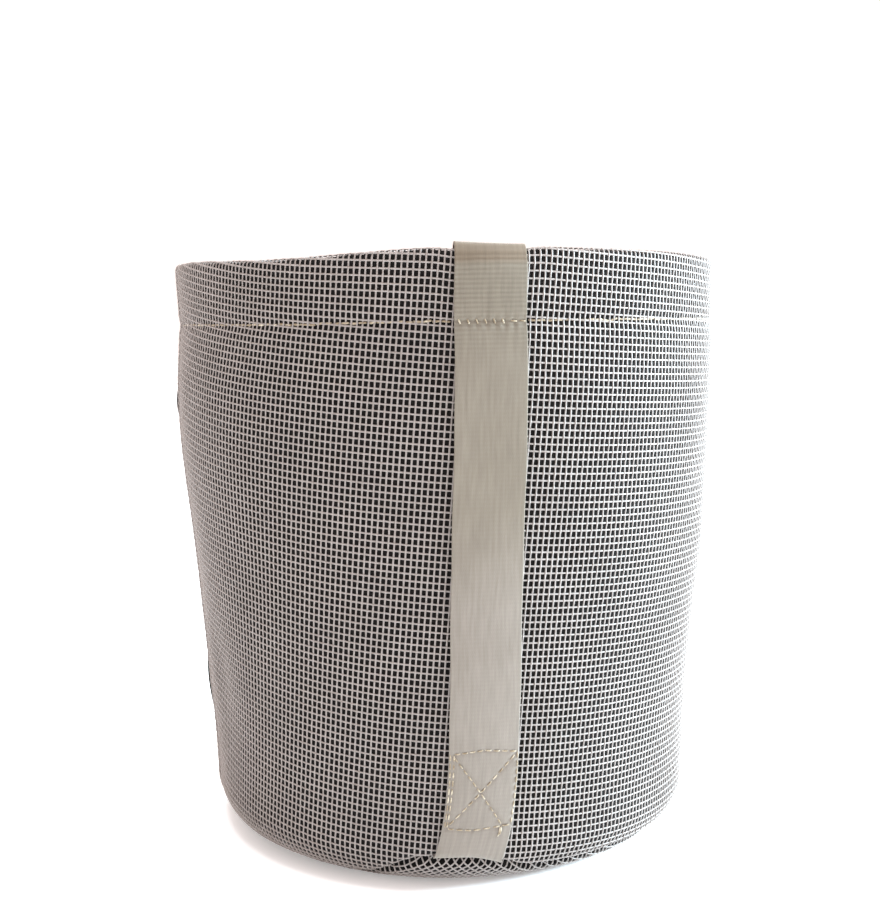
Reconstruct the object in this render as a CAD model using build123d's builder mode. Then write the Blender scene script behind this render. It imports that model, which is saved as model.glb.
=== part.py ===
"""Fabric grow bag: an open mesh wall and base over a felt liner, with two webbing carry handles.

The bag stands on the floor with its mouth up. The origin is on the floor at the bag's axis and +Z is up.
The front strap lies at -Y, the rear strap at +Y, and the wall's side seam at -X.
Each strap is one length of webbing. It is divided at its stitch lines here, because the span between
them is the carry handle, which pulls away from the wall.
"""

import math
import os

from build123d import *

# Driving dimensions, in millimetres
BAG_HEIGHT = 235.0  # floor to the top of the rim
FOOT_RADIUS = 101.0  # outside of the wall where it leaves the rounded base
SHOULDER_RADIUS = 112.3  # outside of the wall at its widest, below the hem
WAIST_RADIUS = 111.6  # outside of the wall where the hem stitching draws it in
RIM_RADIUS = 112.5  # outside of the rim
CORNER_RADIUS = 14.0  # rounding between the base and the wall
BASE_SEAM_ANGLE = 38.0  # degrees up the rounding where the wall is sewn to the base disc
TAPER_START_HEIGHT = 20.0  # the wall is upright below this, where it meets the rounding
SHOULDER_HEIGHT = 185.0
TAPER_EASE = 0.5  # 0 is a straight taper, 1 is fully eased at both ends
TAPER_POINTS = 9  # knots of the wall's profile over the taper
HEM_STITCH_HEIGHT = 210.0
HEM_END_HEIGHT = 208.0  # raw edge of the turned-in hem

MESH_THICKNESS = 1.2
FELT_THICKNESS = 1.6

WEBBING_WIDTH = 25.0
WEBBING_THICKNESS = 1.5
STRAP_CLEARANCE = 0.4  # webbing to the wall
STRAP_GAP = 0.4  # between the lengths of one strap
STRAP_LEAN = 1.6  # degrees that a strap leans round the bag
STRAP_END_HEIGHT = 14.0  # where the webbing turns in to the base seam
STRAP_SWEEP = 20.0  # degrees of wall that a leaning strap stays inside
STRAP_CUTTER = (60.0, 280.0)  # depth and height of the leaning box that cuts a strap to width
BOX_STITCH_BOTTOM = 26.5
BOX_STITCH_TOP = 56.5
CROSS_GAP = 4.7  # from the middle of the crossed rows to the nearest stitch of the broken one
FRONT = -90.0  # azimuths of the straps, in degrees
REAR = 90.0

STITCH_PITCH = 3.3
STITCH_LENGTH = 2.5
STITCH_WIDTH = 0.6
STITCH_PROUD = 0.5
STITCH_LIFT = 0.14  # keeps a level stitch clear of the sloping surface under it

# Derived dimensions
HEM_LAYERS = 2 * (MESH_THICKNESS + FELT_THICKNESS)
FOLD_HEIGHT = BAG_HEIGHT - HEM_LAYERS / 2
STRAP_MIDDLE_HEIGHT = (STRAP_END_HEIGHT + BAG_HEIGHT) / 2
CORNER_CENTRE = (FOOT_RADIUS - CORNER_RADIUS, CORNER_RADIUS)
FELT_INSIDE = MESH_THICKNESS + FELT_THICKNESS
STRAP_BACK = -STRAP_CLEARANCE  # insets of the webbing's two faces, which lie outside the wall
STRAP_FACE = STRAP_BACK - WEBBING_THICKNESS


def wall_radius(height):
    """Outside radius of the mesh wall at a height above the floor."""
    if height >= HEM_STITCH_HEIGHT:
        share = (height - HEM_STITCH_HEIGHT) / (BAG_HEIGHT - HEM_STITCH_HEIGHT)
        return WAIST_RADIUS + (RIM_RADIUS - WAIST_RADIUS) * share
    if height >= SHOULDER_HEIGHT:
        share = (height - SHOULDER_HEIGHT) / (HEM_STITCH_HEIGHT - SHOULDER_HEIGHT)
        return SHOULDER_RADIUS + (WAIST_RADIUS - SHOULDER_RADIUS) * share
    share = (height - TAPER_START_HEIGHT) / (SHOULDER_HEIGHT - TAPER_START_HEIGHT)
    share = max(share, 0)
    eased = share * share * (3 - 2 * share)
    share += TAPER_EASE * (eased - share)
    return FOOT_RADIUS + (SHOULDER_RADIUS - FOOT_RADIUS) * share


def meridian_plane(azimuth):
    """The upright plane through the axis whose local X points out along an azimuth."""
    angle = math.radians(azimuth)
    return Plane(
        origin=(0, 0, 0),
        x_dir=(math.cos(angle), math.sin(angle), 0),
        z_dir=(math.sin(angle), -math.cos(angle), 0),
    )


def wall_line(inset, low, high):
    """Draws the wall's profile between two heights, so far inside the outer face."""
    taper = (SHOULDER_HEIGHT - TAPER_START_HEIGHT) / (TAPER_POINTS - 1)
    knots = [TAPER_START_HEIGHT + taper * i for i in range(TAPER_POINTS)]
    heights = [z for z in (*knots, HEM_STITCH_HEIGHT) if low < z < high]
    Polyline([(wall_radius(z) - inset, z) for z in (low, *heights, high)])


def band_profile(inner, outer, low, high):
    """Draws a closed band that follows the wall between two heights."""
    wall_line(outer, low, high)
    wall_line(inner, low, high)
    Line((wall_radius(low) - outer, low), (wall_radius(low) - inner, low))
    Line((wall_radius(high) - outer, high), (wall_radius(high) - inner, high))


def fold_profile(inner, outer, outside_low, inside_low):
    """Draws a closed band that goes up the wall's outside, over the rim and down the hem's inside.

    inner and outer are the band's distances from the middle of the hem's layers.
    """
    middle = HEM_LAYERS / 2
    centre = (wall_radius(FOLD_HEIGHT) - middle, FOLD_HEIGHT)
    for distance in (inner, outer):
        wall_line(middle - distance, outside_low, FOLD_HEIGHT)
        wall_line(middle + distance, inside_low, FOLD_HEIGHT)
        CenterArc(centre, distance, 0, 180)
    for side, low in ((-1, outside_low), (1, inside_low)):
        ends = [(wall_radius(low) - middle - side * d, low) for d in (inner, outer)]
        Line(*ends)


def corner_point(inset, angle):
    """A point so many degrees up the rounding and so far inside its outer face."""
    reach = CORNER_RADIUS - inset
    swing = math.radians(angle)
    return (CORNER_CENTRE[0] + reach * math.sin(swing), CORNER_CENTRE[1] - reach * math.cos(swing))


def corner_line(inset, low_angle, high_angle):
    """Draws the rounding's profile between two angles, counted up from the floor."""
    CenterArc(CORNER_CENTRE, CORNER_RADIUS - inset, low_angle - 90, high_angle - low_angle)


def seam_edge(outer, inner):
    """Draws the cut edge of a layer at the base seam."""
    Line(corner_point(outer, BASE_SEAM_ANGLE), corner_point(inner, BASE_SEAM_ANGLE))


def base_disc(label, outer, inner):
    """A disc between two insets, whose edge curls up to the base seam."""
    with BuildPart() as disc:
        with BuildSketch(Plane.XZ):
            with BuildLine():
                Line((0, outer), corner_point(outer, 0))
                corner_line(outer, 0, BASE_SEAM_ANGLE)
                seam_edge(outer, inner)
                corner_line(inner, 0, BASE_SEAM_ANGLE)
                Line(corner_point(inner, 0), (0, inner))
                Line((0, inner), (0, outer))
            make_face()
        revolve(axis=Axis.Z)
    disc.part.label = label
    return disc.part


# Outer mesh base and felt liner base, which lie one in the other
outer_base_mesh = base_disc("outer_base_mesh", 0, MESH_THICKNESS)
liner_base = base_disc("liner_base", MESH_THICKNESS, FELT_INSIDE)


# Outer mesh wall, from the base seam up and over the felt to the hem's raw edge
with BuildPart() as outer_wall_mesh:
    with BuildSketch(Plane.XZ):
        with BuildLine():
            hem_half = HEM_LAYERS / 2
            fold_profile(hem_half - MESH_THICKNESS, hem_half, CORNER_RADIUS, HEM_END_HEIGHT)
        make_face()
        with BuildLine():
            corner_line(0, BASE_SEAM_ANGLE, 90)
            corner_line(MESH_THICKNESS, BASE_SEAM_ANGLE, 90)
            seam_edge(0, MESH_THICKNESS)
            Line(corner_point(0, 90), corner_point(MESH_THICKNESS, 90))
        make_face()
    revolve(axis=Axis.Z)
outer_wall_mesh.part.label = "outer_wall_mesh"


# Felt liner wall, doubled inside the hem
with BuildPart() as liner_wall:
    with BuildSketch(Plane.XZ):
        with BuildLine():
            doubled = HEM_LAYERS - MESH_THICKNESS
            fold_centre = (wall_radius(FOLD_HEIGHT) - HEM_LAYERS / 2, FOLD_HEIGHT)
            hem_end = wall_radius(HEM_END_HEIGHT)
            seam_edge(MESH_THICKNESS, FELT_INSIDE)
            corner_line(MESH_THICKNESS, BASE_SEAM_ANGLE, 90)
            corner_line(FELT_INSIDE, BASE_SEAM_ANGLE, 90)
            wall_line(MESH_THICKNESS, CORNER_RADIUS, FOLD_HEIGHT)
            wall_line(FELT_INSIDE, CORNER_RADIUS, HEM_END_HEIGHT)
            Line((hem_end - FELT_INSIDE, HEM_END_HEIGHT), (hem_end - doubled, HEM_END_HEIGHT))
            wall_line(doubled, HEM_END_HEIGHT, FOLD_HEIGHT)
            CenterArc(fold_centre, HEM_LAYERS / 2 - MESH_THICKNESS, 0, 180)
        make_face()
    revolve(axis=Axis.Z)
liner_wall.part.label = "liner_wall"


# Webbing straps, front and rear, each in three lengths
def strap_length(azimuth, draw_profile):
    """One length of a strap: its profile swept round the wall, cut to the webbing's leaning width."""
    lean = STRAP_LEAN * math.copysign(1, -azimuth)
    side = math.copysign(SHOULDER_RADIUS, azimuth)
    with BuildPart() as length:
        with BuildSketch(meridian_plane(azimuth - STRAP_SWEEP / 2)):
            with BuildLine():
                draw_profile()
            make_face()
        revolve(axis=Axis.Z, revolution_arc=STRAP_SWEEP)
        with Locations((0, side, STRAP_MIDDLE_HEIGHT)):
            Box(WEBBING_WIDTH, *STRAP_CUTTER, rotation=(0, lean, 0), mode=Mode.INTERSECT)
    return length.part


def strap_top_profile():
    """Over the rim, from the hem stitching outside to the hem stitching inside."""
    middle = HEM_LAYERS / 2
    fold_profile(middle - STRAP_BACK, middle - STRAP_FACE, HEM_STITCH_HEIGHT, HEM_STITCH_HEIGHT)


def handle_grip_profile():
    """The free span that a hand pulls away from the wall."""
    low = BOX_STITCH_TOP + STRAP_GAP
    high = HEM_STITCH_HEIGHT - STRAP_GAP
    band_profile(STRAP_BACK, STRAP_FACE, low, high)


def strap_foot_profile():
    """The box stitched foot, down to where the webbing turns in to the base seam."""
    band_profile(STRAP_BACK, STRAP_FACE, STRAP_END_HEIGHT, BOX_STITCH_TOP)


straps = {}
for side_name, azimuth in (("front", FRONT), ("rear", REAR)):
    lengths = (
        ("strap_top", strap_top_profile),
        ("handle_grip", handle_grip_profile),
        ("strap_foot", strap_foot_profile),
    )
    for length_name, profile in lengths:
        name = f"{side_name}_{length_name}"
        straps[name] = strap_length(azimuth, profile)
        straps[name].label = name


# Stitching: each visible stitch is a short bar of thread lying on the cloth
def stitch_place(azimuth, radius, height, turn=0, lean=0):
    """A place on the outside at an azimuth.

    A stitch there is turned so far from level, on a face that leans so far over towards the floor.
    """
    face = Location((0, 0, 0), (0, 0, azimuth)) * Location((radius, 0, height), (0, lean, 0))
    return face * Location((STITCH_LIFT + STITCH_PROUD / 2, 0, 0), (turn, 0, 0))


def stitches(places, label):
    """A group of stitches, as separate solids in one node."""
    with BuildPart() as group:
        with Locations(*places):
            Box(STITCH_PROUD, STITCH_LENGTH, STITCH_WIDTH)
    group.part.label = label
    return group.part


def evenly(start, end, pitch):
    """Values about a pitch apart, from start to end."""
    steps = max(1, round(abs(end - start) / pitch))
    return [start + (end - start) * i / steps for i in range(steps + 1)]


def strap_azimuth(azimuth, across, height, radius):
    """The azimuth of a point so far across a leaning strap."""
    drift = (height - STRAP_MIDDLE_HEIGHT) * math.tan(math.radians(STRAP_LEAN))
    return azimuth + math.degrees(math.asin((across + drift) / radius))


def strap_row(azimuth, start, end):
    """Places for one row of stitches on a strap's face, between two (across, height) points."""
    run = math.dist(start, end)
    turn = math.degrees(math.atan2(end[1] - start[1], end[0] - start[0]))
    places = []
    for share in evenly(0, 1, STITCH_PITCH / run):
        across = start[0] + (end[0] - start[0]) * share
        height = start[1] + (end[1] - start[1]) * share
        radius = wall_radius(height) - STRAP_FACE
        places.append(stitch_place(strap_azimuth(azimuth, across, height, radius), radius, height, turn))
    return places


def hem_places():
    """A ring of stitches at the hem, which steps out onto the face of each strap."""
    count = round(2 * math.pi * WAIST_RADIUS / STITCH_PITCH)
    keep_off = math.degrees((WEBBING_WIDTH / 2 + STITCH_PITCH) / WAIST_RADIUS)
    height = HEM_STITCH_HEIGHT + STITCH_WIDTH
    places = []
    for index in range(count):
        azimuth = 360 * index / count - 180
        near = min(abs(azimuth - FRONT), abs(azimuth - REAR))
        if near > keep_off + STRAP_LEAN:
            places.append(stitch_place(azimuth, wall_radius(height), height))
    reach = WEBBING_WIDTH / 2 - STITCH_LENGTH / 2
    for azimuth in (FRONT, REAR):
        places += strap_row(azimuth, (-reach, height), (reach, height))
    return places


def box_stitch_places(azimuth):
    """A rectangle of stitches near a strap's edges, crossed corner to corner."""
    reach = WEBBING_WIDTH / 2 - STITCH_WIDTH
    low = BOX_STITCH_BOTTOM
    high = BOX_STITCH_TOP - STITCH_LENGTH
    inner = reach - STITCH_LENGTH
    rows = [
        ((-inner, low), (inner, low)),
        ((-inner, high), (inner, high)),
        ((-reach, low), (-reach, high)),
        ((reach, low), (reach, high)),
    ]
    places = []
    for start, end in rows:
        places += strap_row(azimuth, start, end)
    # One diagonal is whole and the other breaks off to either side of it
    cross_side = inner - STITCH_WIDTH
    cross_rise = (high - low) / 2 - STITCH_LENGTH
    middle = (low + high) / 2
    places += strap_row(azimuth, (-cross_side, middle + cross_rise), (cross_side, middle - cross_rise))
    broken = CROSS_GAP / math.hypot(cross_side, cross_rise)
    for side in (-1, 1):
        near = (side * cross_side * broken, middle + side * cross_rise * broken)
        far = (side * cross_side, middle + side * cross_rise)
        places += strap_row(azimuth, near, far)
    return places


def side_seam_places():
    """An upright row of stitches at -X, from the base to the hem."""
    low = CORNER_RADIUS + STITCH_PITCH
    high = HEM_STITCH_HEIGHT - 2 * STITCH_PITCH
    return [stitch_place(180, wall_radius(z), z, 90) for z in evenly(low, high, STITCH_PITCH)]


def base_seam_places():
    """A ring of stitches on the rounding, just above the base seam."""
    angle = BASE_SEAM_ANGLE + math.degrees(STITCH_WIDTH / CORNER_RADIUS)
    radius, height = corner_point(0, angle)
    count = round(2 * math.pi * radius / STITCH_PITCH)
    return [stitch_place(360 * i / count, radius, height, 0, 90 - angle) for i in range(count)]


stitching = [
    stitches(hem_places(), "hem_stitching"),
    stitches(box_stitch_places(FRONT), "front_box_stitching"),
    stitches(box_stitch_places(REAR), "rear_box_stitching"),
    stitches(side_seam_places(), "side_seam_stitching"),
    stitches(base_seam_places(), "base_seam_stitching"),
]


# One STEP file for each node
os.makedirs("parts", exist_ok=True)
shells = [outer_wall_mesh.part, liner_wall.part, outer_base_mesh, liner_base]
for node in (*shells, *straps.values(), *stitching):
    export_step(node, f"parts/{node.label}.step")
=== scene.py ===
"""The looks of the fabric grow bag, built round the CAD frame.

Metres throughout, in the CAD frame: the floor is z = 0, the front strap is at -Y, the rear strap at +Y
and the wall's side seam at -X. Every soft piece is laid on one cloth surface, which is given by an
azimuth round the bag, a length along its profile (from the middle of the base, up the wall, over the rim
and down inside the hem) and a distance out from the net's middle layer.
"""

import math

import bpy
import numpy as np
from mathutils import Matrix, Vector


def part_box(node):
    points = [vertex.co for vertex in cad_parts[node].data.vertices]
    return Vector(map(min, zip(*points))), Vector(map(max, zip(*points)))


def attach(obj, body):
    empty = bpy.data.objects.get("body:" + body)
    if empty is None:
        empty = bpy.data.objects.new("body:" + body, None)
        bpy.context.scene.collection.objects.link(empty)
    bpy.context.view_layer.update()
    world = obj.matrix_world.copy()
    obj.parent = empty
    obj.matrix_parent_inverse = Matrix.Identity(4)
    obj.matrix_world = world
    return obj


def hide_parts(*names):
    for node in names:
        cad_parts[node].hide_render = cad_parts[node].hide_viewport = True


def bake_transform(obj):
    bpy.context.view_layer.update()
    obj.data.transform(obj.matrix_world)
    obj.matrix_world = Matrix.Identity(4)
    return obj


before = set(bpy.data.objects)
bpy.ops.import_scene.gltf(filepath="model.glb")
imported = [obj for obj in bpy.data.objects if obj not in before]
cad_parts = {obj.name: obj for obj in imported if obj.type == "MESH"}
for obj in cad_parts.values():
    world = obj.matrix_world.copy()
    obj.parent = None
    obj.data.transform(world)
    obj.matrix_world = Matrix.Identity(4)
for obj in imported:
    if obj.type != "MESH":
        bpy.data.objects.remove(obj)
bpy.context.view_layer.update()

MM = 0.001
rng = np.random.default_rng(7)

# Sizes read from the frame
WALL_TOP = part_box("outer_wall_mesh")[1]
RIM_HEIGHT = WALL_TOP.z
RIM_RADIUS = WALL_TOP.x
HEM_STITCH_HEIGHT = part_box("front_strap_top")[0].z
BOX_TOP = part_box("front_strap_foot")[1].z

# The bag's own sizes
FOOT_RADIUS = RIM_RADIUS - 11.5 * MM
SHOULDER_RADIUS = RIM_RADIUS - 0.2 * MM
WAIST_RADIUS = RIM_RADIUS - 0.9 * MM
TAPER_START = 20 * MM
SHOULDER_HEIGHT = 185 * MM
TAPER_EASE = 0.5
CORNER_RADIUS = 19 * MM
HEM_HALF = 2.2 * MM  # from the middle of the hem's layers to the net's middle
HEM_DEPTH = 27 * MM
FOLD_SQUARENESS = 3.2  # 2 would fold the hem over a round edge
RIPPLE_FULL = 45 * MM  # height from which the wall's unevenness is full
RIM_LIFT_FROM = 200 * MM
RIM_LIFT_SPAN = 35 * MM
SEAM_LOW = 2.6 * MM  # height of the base seam between the straps
SEAM_PULL = 7.1 * MM  # how much higher it is at a strap
SEAM_TRAIL = 3.0 * MM  # and how much higher a good way past it
SEAM_GROOVE = 2.6 * MM  # depth of the groove that the base seam draws in
SEAM_GROOVE_WIDTH = 1.45 * MM
HEM_GROOVE = 0.55 * MM
HEM_GROOVE_WIDTH = 2.6 * MM
CREASE_DROP = 5.5 * MM  # from the rim to a crease across it at each strap
CREASE_SLOPE = 0.28
STRAP_TURN = 0.02  # radians from a strap's azimuth to the middle of its top

# Coated yarn net
NET_HALF = 0.5 * MM
COLUMN_PITCH = 2.12 * MM
ROW_PITCH = 2.59 * MM
YARN_WIDTH = 0.7 * MM
YARN_THICKNESS = 0.52 * MM
KNOT_SWELL = 0.06  # how much wider a yarn is at a crossing, and narrower between two
YARN_UNEVENNESS = 0.05
WEAVE_RISE = 0.11 * MM
CONE_SINE = 0.05  # sine of the wall's mean taper, which bends its flat pattern
LAP = math.radians(4.5)  # how far each end of the wall panel passes the side seam

# Felt
FELT_THICKNESS = 1.6 * MM
FELT_OUT = -0.62 * MM  # the felt's outer face, from the net's middle layer
FELT_BEHIND_HEM = 1.3 * MM  # its thickness where the hem squeezes it
FELT_LAP = 1.3 * MM  # how much thicker it is where its ends lap
FELT_LAP_HALF = 3.2  # degrees from the side seam to each edge of the lap
ALLOWANCE_STEP = 4.0 * MM  # how far the seam allowance inside stands in from the wall
ALLOWANCE_START = 5.5 * MM  # how far before the seam the base felt starts to step in
ALLOWANCE_LENGTH = 7 * MM

# Webbing
WEBBING_WIDTH = 25 * MM
WEBBING_THICKNESS = 1.4 * MM
STRAP_LEAN = math.radians(0.93)
LEAN_CENTRE = 87 * MM  # height at which the leaning strap crosses its own azimuth
STRAP_KICK = 5.2 * MM  # how much further to the left its foot is sewn in
KICK_TOP = 14 * MM
KICK_FADE = 13 * MM
RIB_PITCH = 1.58 * MM
WARP_PITCH = 0.72 * MM
RIB_FADE = 18 * MM  # below the hem stitch, where the ribs fade out
UPPER_TINT_FROM, UPPER_TINT_TO = 105 * MM, 145 * MM  # heights between which the webbing turns darker and warmer, as it stays above them
FOLD_SHADE_AND_DIRT_DEPTH = 7 * MM  # of webbing outside the fold over the rim, darkened by painted shade, a painted warm reflection and some dirt
EDGE_ROUND = 0.3 * MM
BOX_BOTTOM = 26.5 * MM
STRAP_TUCK = 2.4 * MM  # how much of its foot goes into the base seam

# Thread
STITCH_PITCH = 3.3 * MM
BOX_PITCH = 0.93 * STITCH_PITCH
PLY_SWELL = 0.16  # how far a two-ply thread's outline departs from round
THREAD_WIDTH = 0.54 * MM
HEM_THREAD_WIDTH = 0.82 * MM  # sunk between the yarns and pressed wide

FRONT = -math.pi / 2
REAR = math.pi / 2


# ---- The cloth surface ----


def smoothstep(x):
    """0 below 0, 1 above 1 and an eased ramp between."""
    x = np.clip(x, 0, 1)
    return x * x * (3 - 2 * x)


def bump(x, centre, width):
    """A bell curve of height 1."""
    return np.exp(-(((x - centre) / width) ** 2))


def plateau(x, rise_from, rise_to, fall_from, fall_to):
    """1 from rise_to to fall_from, eased down to 0 on both sides."""
    rise = smoothstep((x - rise_from) / (rise_to - rise_from))
    return rise * smoothstep((fall_to - x) / (fall_to - fall_from))


def turned(azimuth, centre):
    """How far an azimuth is past a centre, from -pi to pi."""
    return (azimuth - centre + math.pi) % (2 * math.pi) - math.pi


def wall_radius(z):
    """Outside radius of the wall at a height, as in the CAD model."""
    share = np.clip((z - TAPER_START) / (SHOULDER_HEIGHT - TAPER_START), 0, 1)
    share = share + TAPER_EASE * (smoothstep(share) - share)
    radius = FOOT_RADIUS + (SHOULDER_RADIUS - FOOT_RADIUS) * share
    waist = smoothstep((z - SHOULDER_HEIGHT) / (HEM_STITCH_HEIGHT - SHOULDER_HEIGHT))
    flare = smoothstep((z - HEM_STITCH_HEIGHT) / (RIM_HEIGHT - HEM_STITCH_HEIGHT))
    return radius + (WAIST_RADIUS - SHOULDER_RADIUS) * waist + (RIM_RADIUS - WAIST_RADIUS) * flare


FLOOR_POINTS = 90


def profile_points():
    """The net's middle layer as (radius, height) rows, from the base's middle to the hem's raw edge."""
    corner = FOOT_RADIUS - CORNER_RADIUS
    reach = CORNER_RADIUS - NET_HALF
    fold_height = RIM_HEIGHT - HEM_HALF - NET_HALF
    floor = [(r, NET_HALF) for r in np.linspace(0, corner, FLOOR_POINTS)]
    rounding = [
        (corner + reach * math.sin(t), CORNER_RADIUS - reach * math.cos(t))
        for t in np.linspace(0, math.pi / 2, 60)
    ]
    heights = np.linspace(CORNER_RADIUS, fold_height, 400)
    wall = [(wall_radius(z) - NET_HALF, z) for z in heights]
    middle = wall_radius(fold_height) - NET_HALF - HEM_HALF
    square = 2 / FOLD_SQUARENESS
    sliver = 0.0001  # radians, which keep the sine above zero at both ends
    fold = [
        (
            middle + HEM_HALF * math.copysign(abs(math.cos(t)) ** square, math.cos(t)),
            fold_height + HEM_HALF * math.sin(t) ** square,
        )
        for t in np.linspace(sliver, math.pi - sliver, 60)
    ]
    inside_heights = np.linspace(fold_height, RIM_HEIGHT - HEM_DEPTH, 60)
    inside = [(wall_radius(z) - NET_HALF - 2 * HEM_HALF, z) for z in inside_heights]
    return np.array(floor + rounding[1:] + wall[1:] + fold[1:] + inside[1:])


PROFILE = profile_points()
PROFILE_LENGTH = np.concatenate([[0], np.cumsum(np.linalg.norm(np.diff(PROFILE, axis=0), axis=1))])
PROFILE_SLOPE = np.gradient(PROFILE, PROFILE_LENGTH, axis=0)
PROFILE_SLOPE /= np.linalg.norm(PROFILE_SLOPE, axis=1)[:, None]
CORNER_LENGTH = FOOT_RADIUS - CORNER_RADIUS
FOLD_INDEX = int(np.argmax(PROFILE[:, 1]))
RIM_LENGTH = PROFILE_LENGTH[FOLD_INDEX]
END_LENGTH = PROFILE_LENGTH[-1]


def outside_length(z):
    """Length along the profile to a height on the wall's outside."""
    return np.interp(z, PROFILE[FLOOR_POINTS:FOLD_INDEX, 1], PROFILE_LENGTH[FLOOR_POINTS:FOLD_INDEX])


def inside_length(z):
    """Length along the profile to a height on the hem's inside."""
    return np.interp(-z, -PROFILE[FOLD_INDEX:, 1], PROFILE_LENGTH[FOLD_INDEX:])


def height_at(length):
    """Height of the net's middle layer at a length along the profile."""
    return np.interp(length, PROFILE_LENGTH, PROFILE[:, 1])


def strap_offset(z):
    """How far round the bag a strap's middle lies from its azimuth, because it leans."""
    kick = STRAP_KICK * np.exp(-np.maximum(z - KICK_TOP, 0) / KICK_FADE)
    return (z - LEAN_CENTRE) * math.tan(STRAP_LEAN) - kick


def seam_height(azimuth):
    """Height of the base seam, which each strap pulls up where it is sewn in, and more on one side."""
    height = np.full_like(azimuth, SEAM_LOW)
    for strap in (FRONT, REAR):
        degrees_past = np.degrees(turned(azimuth, strap))
        pulled = plateau(degrees_past, -29, -14, -4, 14)
        trailing = plateau(degrees_past, -23, -9, 34, 74)
        height = height + SEAM_PULL * pulled + SEAM_TRAIL * trailing
    return height


def seam_length(azimuth):
    """Length along the profile to the base seam."""
    swing = np.arccos(1 - seam_height(azimuth) / CORNER_RADIUS)
    return CORNER_LENGTH + CORNER_RADIUS * swing


# Each: height in mm, waves round the bag, their turn, mm of height for a radian, their shift
RIPPLES = ((0.35, 3, 0.6, 38, 0.4), (0.3, 5, 1.3, 29, 2.1), (0.16, 11, 0.2, 17, 1.0))


def ripple(azimuth, z):
    """The soft unevenness of a bag sewn from cloth, as a distance outward.

    Slow waves all round, a swell and a dent low down at the left, and two swells at the right.
    """
    waves = 0
    for size, count, turn, rise, shift in RIPPLES:
        waves = waves + size * np.sin(count * azimuth + turn) * np.sin(z / (rise * MM) + shift)
    left = np.clip(-np.cos(azimuth), 0, 1) * 1.2 * bump(z, 163 * MM, 32 * MM)
    right = np.clip(np.cos(azimuth), 0, 1)
    right = right * (0.9 * bump(z, 207 * MM, 14 * MM) + 1.0 * bump(z, 124 * MM, 24 * MM))
    dent = 1.3 * bump(turned(azimuth, math.radians(-161)), 0, 0.13) * bump(z, 68 * MM, 22 * MM)
    return (waves + left + right - dent) * MM - rim_crease(azimuth, z)


def rim_crease(azimuth, z):
    """How far the rim is drawn inward under each strap, above a crease."""
    above = np.clip(z - RIM_HEIGHT + CREASE_DROP, 0, None)
    near = np.zeros_like(azimuth)
    for strap in (FRONT, REAR):
        near = near + smoothstep((0.22 - np.abs(turned(azimuth, strap + STRAP_TURN))) / 0.1)
    return CREASE_SLOPE * above * near


def rim_lift(azimuth):
    """How far the rim stands above its level height: it waves, sags, and rises to each strap."""
    lift = 0.25 * np.cos(7 * azimuth) - 0.2 * np.ones_like(azimuth)
    lift = lift - 1.4 * bump(turned(azimuth, math.radians(-135)), 0, 0.45)
    lift = lift - 0.9 * bump(turned(azimuth, math.radians(40)), 0, 0.4)
    for strap in (FRONT, REAR):
        lift = lift + 1.4 * bump(turned(azimuth, strap + 0.1), 0, 0.4)
        lift = lift - 0.6 * smoothstep((0.18 - np.abs(turned(azimuth, strap + STRAP_TURN))) / 0.07)
    return lift * MM


def seam_pinch(azimuth, length):
    """How far the stitching draws the cloth in, along its normal."""
    groove = SEAM_GROOVE * bump(length, seam_length(azimuth), SEAM_GROOVE_WIDTH)
    hem = np.zeros_like(length)
    for at in (outside_length(HEM_STITCH_HEIGHT), inside_length(HEM_STITCH_HEIGHT)):
        hem = hem + HEM_GROOVE * bump(length, at, HEM_GROOVE_WIDTH)
    pucker = 1 + 0.18 * np.cos(azimuth * WAIST_RADIUS / STITCH_PITCH * 2 * math.pi)
    return groove + hem * pucker


def cloth(azimuth, length, out):
    """Points on the cloth surface, as an array with x, y, z last."""
    azimuth, length, out = np.broadcast_arrays(azimuth, length, out)
    azimuth = azimuth.astype(float)
    radius = np.interp(length, PROFILE_LENGTH, PROFILE[:, 0])
    z = height_at(length)
    along_radius = np.interp(length, PROFILE_LENGTH, PROFILE_SLOPE[:, 0])
    along_z = np.interp(length, PROFILE_LENGTH, PROFILE_SLOPE[:, 1])
    out = out - seam_pinch(azimuth, length)
    raised = smoothstep(z / RIPPLE_FULL)
    radius = radius + along_z * out + ripple(azimuth, z) * raised
    lift = rim_lift(azimuth) * smoothstep((z - RIM_LIFT_FROM) / RIM_LIFT_SPAN)
    z = z - along_radius * out + lift
    return np.stack([radius * np.cos(azimuth), radius * np.sin(azimuth), z], axis=-1)


def cloth_normal(azimuth, length, out):
    """Unit vectors out of the cloth surface."""
    step = 0.2 * MM
    normal = cloth(azimuth, length, out + step) - cloth(azimuth, length, out)
    return normal / np.linalg.norm(normal, axis=-1, keepdims=True)


# ---- Mesh making ----


def signed_volume(points, face_groups):
    """Six times the volume inside, which is negative if the faces point inward."""
    total = 0.0
    for faces in face_groups:
        first = points[faces[:, 0]]
        for k in range(1, faces.shape[1] - 1):
            cross = np.cross(points[faces[:, k]], points[faces[:, k + 1]])
            total += float((first * cross).sum())
    return total


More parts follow.
